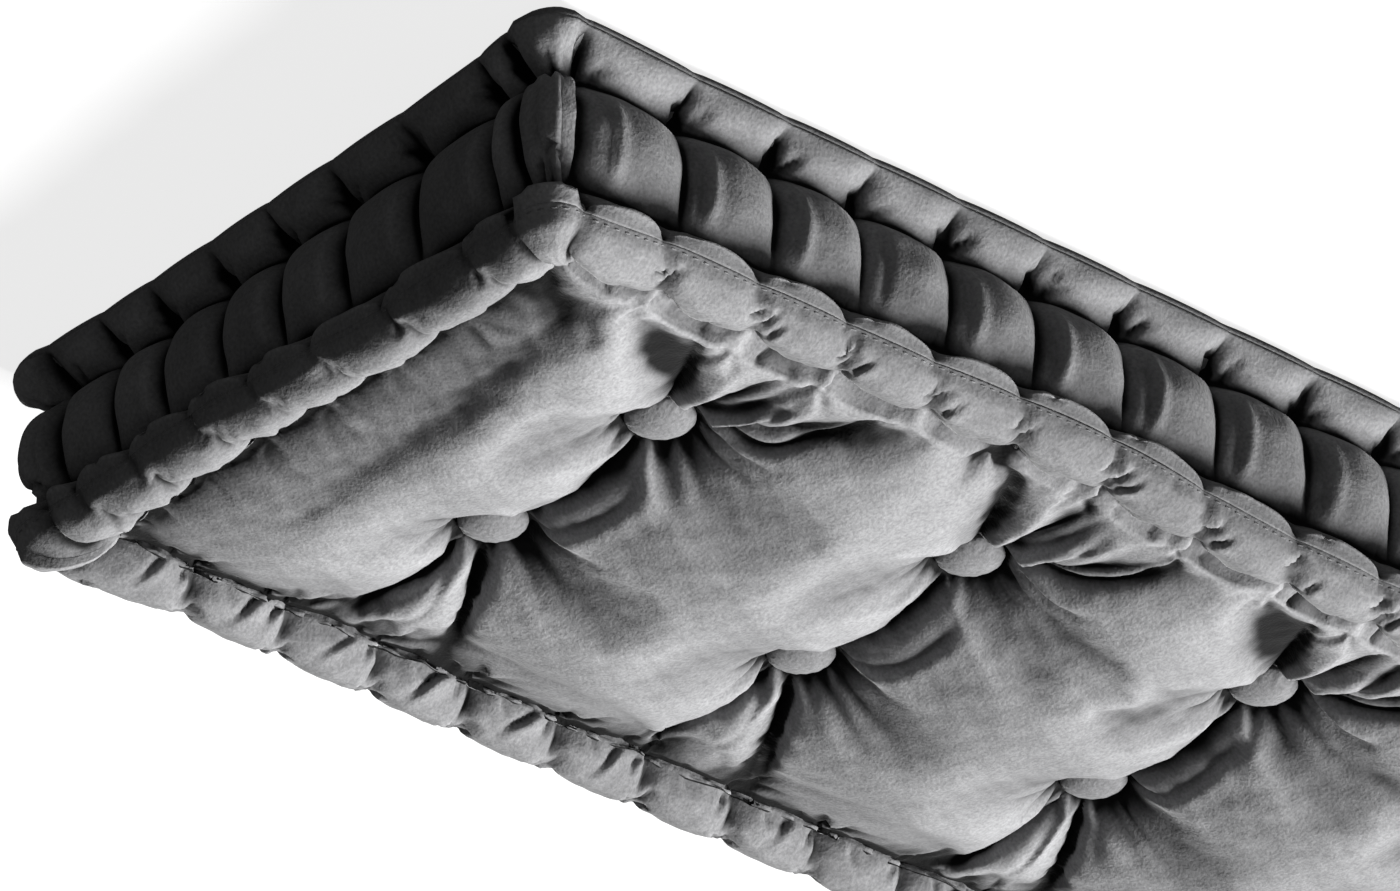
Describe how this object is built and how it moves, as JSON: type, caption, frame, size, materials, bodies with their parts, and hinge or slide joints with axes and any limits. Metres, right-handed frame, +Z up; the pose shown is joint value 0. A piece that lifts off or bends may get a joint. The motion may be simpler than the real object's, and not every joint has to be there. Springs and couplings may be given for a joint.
{
  "type": "bench cushion",
  "caption": "Long padded bench cushion with a button-tufted face, thick rolled edges and a band sewn into upright channels, for a bench, window seat or pallet seat.",
  "frame": {"origin": "middle of the underside, on the surface that the cushion lies on", "axes": "+X along the cushion towards the end that shows in the picture, -Y towards the long side that shows, +Z up out of the buttoned face"},
  "size_m": [1.1866, 0.4384, 0.127],
  "materials": {
    "cover": "short-pile velvet, mid to dark grey, soft sheen on the folds",
    "buttons": "velvet stretched over a domed button"
  },
  "bodies": {
    "root": {"cushion": "cover", "button_a1": "buttons", "button_a2": "buttons", "button_a3": "buttons", "button_a4": "buttons", "button_a5": "buttons", "button_b1": "buttons", "button_b2": "buttons", "button_b3": "buttons", "button_b4": "buttons", "button_b5": "buttons"}
  },
  "joints": []
}
